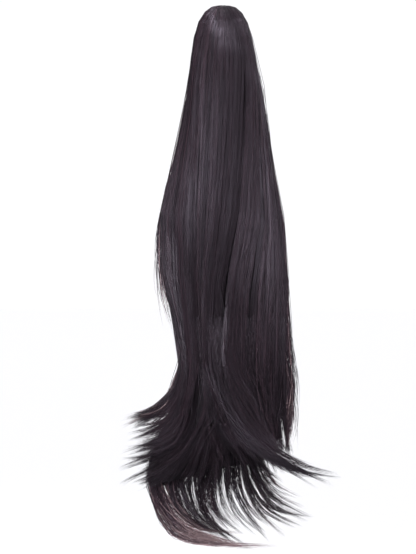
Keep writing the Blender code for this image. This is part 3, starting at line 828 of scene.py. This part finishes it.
def finished_mesh(name, shape):
    """A mesh made from a bmesh that is done with."""
    mesh = bpy.data.meshes.new(name)
    shape.to_mesh(mesh)
    shape.free()
    return mesh


def link_mesh(name, mesh, material):
    """An object of a mesh and its one material, in the scene."""
    mesh.materials.clear()
    mesh.materials.append(material)
    item = bpy.data.objects.new(name, mesh)
    bpy.context.scene.collection.objects.link(item)
    return item


def add_piece(name, mesh, material, node):
    """Links a finished mesh as a piece of the hairpiece that stands for a node."""
    piece = link_mesh(name, mesh, material)
    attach(piece, "root")
    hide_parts(node)
    return piece


def solid_copy(node):
    """A merged bmesh copy of a node's solid."""
    shape = bmesh.new()
    shape.from_mesh(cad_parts[node].data)
    bmesh.ops.remove_doubles(shape, verts=shape.verts, dist=SOLID_MERGE)
    return shape


def cut_end(shape, height):
    """Cuts a solid off along the slant of the fills' lower ends, and closes the cut."""
    cut = bmesh.ops.bisect_plane(
        shape, geom=shape.verts[:] + shape.edges[:] + shape.faces[:], dist=SOLID_MERGE,
        plane_co=(0, 0, height), plane_no=(FILL_SLOPE, 0, -1), clear_outer=True)
    rim = [edge for edge in cut["geom_cut"] if isinstance(edge, bmesh.types.BMEdge)]
    bmesh.ops.triangle_fill(shape, edges=rim, use_beauty=True)


def draw_in(shape, inset, height):
    """Draws a cut solid in under its own faces, and narrows it towards its lower end."""
    shape.normal_update()
    for corner in shape.verts:
        corner.co -= corner.normal * inset
        near_end = 1 - (corner.co.z - height) / FILL_TAPER_LENGTH
        corner.co.x *= 1 - FILL_TAPER * min(max(near_end, 0), 1)


class HAIRPIECE_OT_fills(bpy.types.Operator):
    """Packed fibre under each bundle, coloured dark as painted shade, so that no light comes
    through the fall
    """

    bl_idname = "hairpiece.fills"
    bl_label = "Fills"

    def execute(self, context):
        hair = context.scene.hairpiece_hair
        packed_fibre = packed_fibre_material(hair)
        for bundle in BUNDLES:
            if bundle.fill_end is None:
                continue
            shape = solid_copy(bundle.node)
            cut_end(shape, bundle.fill_end)
            draw_in(shape, hair.fill_inset, bundle.fill_end)
            name = bundle.name + "_fill"
            mesh = finished_mesh(name, shape)
            mesh.shade_smooth()
            add_piece(name, mesh, packed_fibre, bundle.node)
        return {"FINISHED"}


class HAIRPIECE_OT_strands(bpy.types.Operator):
    """The hair itself, one piece of tapered strands for each bundle"""

    bl_idname = "hairpiece.strands"
    bl_label = "Strands"

    def execute(self, context):
        hair = context.scene.hairpiece_hair
        fibre = fibre_material(hair)
        track = make_track()
        for bundle in BUNDLES:
            random = np.random.default_rng(bundle.seed)
            paths, tones = strand_paths(track, bundle, hair, random)
            mesh = grow(bundle.name, paths, tones, hair)
            add_piece(bundle.name, mesh, fibre, bundle.node)
        return {"FINISHED"}


class HAIRPIECE_OT_claw(bpy.types.Operator):
    """The moulded claw clip, with its edges rounded"""

    bl_idname = "hairpiece.claw"
    bl_label = "Claw clip"

    def execute(self, context):
        claw = context.scene.hairpiece_claw
        shape = solid_copy("claw_clip")
        bmesh.ops.dissolve_limit(shape, angle_limit=FLAT_ANGLE, verts=shape.verts,
                                 edges=shape.edges)
        mesh = finished_mesh("moulded_claw", shape)
        mesh.shade_smooth()
        piece = add_piece("moulded_claw", mesh, moulded_black_material(claw), "claw_clip")
        rounding = piece.modifiers.new("rounding", "BEVEL")
        rounding.width = claw.edge_rounding
        rounding.segments = 2
        rounding.limit_method = "ANGLE"
        rounding.harden_normals = True
        return {"FINISHED"}


class HAIRPIECE_OT_studio(bpy.types.Operator):
    """White floor and surroundings, soft lights and the camera"""

    bl_idname = "hairpiece.studio"
    bl_label = "Studio"

    def execute(self, context):
        studio = context.scene.hairpiece_studio
        self.add_floor(studio)
        self.add_flag(studio)
        self.add_surroundings(context.scene, studio)
        middle = Vector((studio.centre_x, 0, studio.centre_z))
        crown = Vector((0, 0, DOME_TOP))
        upper_fall = Vector((0, 0, -0.13))
        ends = Vector((-0.02, 0, -0.44))
        # The crown light has a honeycomb grid, so it leaves the fall below in shade. The side
        # lights stand low, for the fall's sides where they turn in. The sweep light comes from the
        # upper right, where the ends that sweep right mirror it.
        lights = (
            Light("crown_light", (0.16, -0.45, 0.34), crown, (0.60, 0.52),
                  studio.crown_power, 36),
            Light("top_light", (0.0, -0.06, 0.56), crown, (0.40, 0.50),
                  studio.top_power, 50),
            Light("front_light", (-0.10, -0.8, -0.13), upper_fall, (0.5, 0.17),
                  studio.front_power, 180),
            Light("left_light", (-1.4, -0.3, -0.48), middle, (0.4, 0.5),
                  studio.side_power, 24),
            Light("right_light", (1.4, -0.3, -0.48), middle, (0.4, 0.5),
                  studio.side_power / 10, 24),
            Light("sweep_light", (0.62, -0.70, 0.03), ends, (0.3, 0.3),
                  studio.sweep_power, 14),
        )
        for light in lights:
            self.add_light(light)
        self.add_camera(context.scene, studio, middle)
        context.scene.view_settings.view_transform = "Standard"
        context.scene.cycles.use_denoising = True
        return {"FINISHED"}

    def add_floor(self, studio):
        """A round sheet of paper under the hanging hair."""
        shape = bmesh.new()
        bmesh.ops.create_circle(shape, cap_ends=True, segments=64, radius=studio.floor_radius)
        bmesh.ops.translate(shape, verts=shape.verts,
                            vec=(0, 0, LOWEST_TIP - studio.floor_drop))
        mesh = finished_mesh("paper_floor", shape)
        link_mesh("paper_floor", mesh, paper_material(studio))

    def add_flag(self, studio):
        """A large black cloth behind the camera, for the hair's gloss to mirror.

        Only mirrored light meets it, so the paper stays white all round.
        """
        width, height = studio.flag_size
        shape = bmesh.new()
        bmesh.ops.create_grid(shape, size=0.5)
        bmesh.ops.scale(shape, verts=shape.verts, vec=(width, height, 1))
        flag = link_mesh("black_flag", finished_mesh("black_flag", shape), cloth_material())
        flag.rotation_euler = (pi / 2, 0, 0)
        flag.location = (studio.centre_x, -studio.flag_distance, studio.flag_height)
        flag.visible_camera = False
        flag.visible_diffuse = False

    def add_surroundings(self, scene, studio):
        """Even white light from all round."""
        world = bpy.data.worlds.new("white surroundings")
        world.use_nodes = True
        tree = world.node_tree
        tree.nodes.clear()
        light = add_node(tree, "ShaderNodeBackground",
                         {"Color": studio.paper_colour, "Strength": studio.world_strength})
        add_node(tree, "ShaderNodeOutputWorld", links={"Surface": light.outputs["Background"]})
        scene.world = world

    def add_light(self, light):
        """A soft rectangular light that faces its target."""
        area = bpy.data.lights.new(light.name, "AREA")
        area.shape = "RECTANGLE"
        area.size, area.size_y = light.size
        area.energy = light.power
        area.spread = radians(light.spread)
        lamp = bpy.data.objects.new(light.name, area)
        lamp.location = light.place
        lamp.visible_camera = False
        towards = light.target - Vector(light.place)
        lamp.rotation_euler = towards.to_track_quat("-Z", "Y").to_euler()
        bpy.context.scene.collection.objects.link(lamp)

    def add_camera(self, scene, studio, middle):
        """The camera, level with the picture's middle and facing the outer side."""
        view = bpy.data.cameras.new("camera")
        view.sensor_width = 36.0
        view.lens = view.sensor_width * studio.camera_distance / studio.framed_height
        view.clip_end = 100.0
        camera = bpy.data.objects.new("camera", view)
        camera.location = middle + Vector((0, -studio.camera_distance, 0))
        camera.rotation_euler = (pi / 2, 0, 0)
        scene.collection.objects.link(camera)
        scene.camera = camera


class HAIRPIECE_PT_panel(bpy.types.Panel):
    """Settings and steps of the hairpiece"""

    bl_idname = "HAIRPIECE_PT_panel"
    bl_label = "Ponytail Hairpiece"
    bl_space_type = "VIEW_3D"
    bl_region_type = "UI"
    bl_category = "Hairpiece"

    def draw(self, context):
        layout = self.layout
        scene = context.scene
        for settings in (scene.hairpiece_hair, scene.hairpiece_claw, scene.hairpiece_studio):
            box = layout.box()
            for name in settings.bl_rna.properties.keys():
                if name not in ("rna_type", "name"):
                    box.prop(settings, name)
        for step in STEPS:
            layout.operator(step.bl_idname)


STEPS = (HAIRPIECE_OT_fills, HAIRPIECE_OT_strands, HAIRPIECE_OT_claw, HAIRPIECE_OT_studio)
CLASSES = (HairSettings, ClawSettings, StudioSettings) + STEPS + (HAIRPIECE_PT_panel,)


def register():
    """Adds the settings, steps and panel."""
    for item in CLASSES:
        bpy.utils.register_class(item)
    bpy.types.Scene.hairpiece_hair = PointerProperty(type=HairSettings)
    bpy.types.Scene.hairpiece_claw = PointerProperty(type=ClawSettings)
    bpy.types.Scene.hairpiece_studio = PointerProperty(type=StudioSettings)


def unregister():
    """Takes the settings, steps and panel away again."""
    del bpy.types.Scene.hairpiece_studio
    del bpy.types.Scene.hairpiece_claw
    del bpy.types.Scene.hairpiece_hair
    for item in reversed(CLASSES):
        bpy.utils.unregister_class(item)


def main():
    """Builds the hairpiece and its studio."""
    register()
    bpy.ops.hairpiece.fills()
    bpy.ops.hairpiece.strands()
    bpy.ops.hairpiece.claw()
    bpy.ops.hairpiece.studio()


if __name__ == "__main__":
    main()
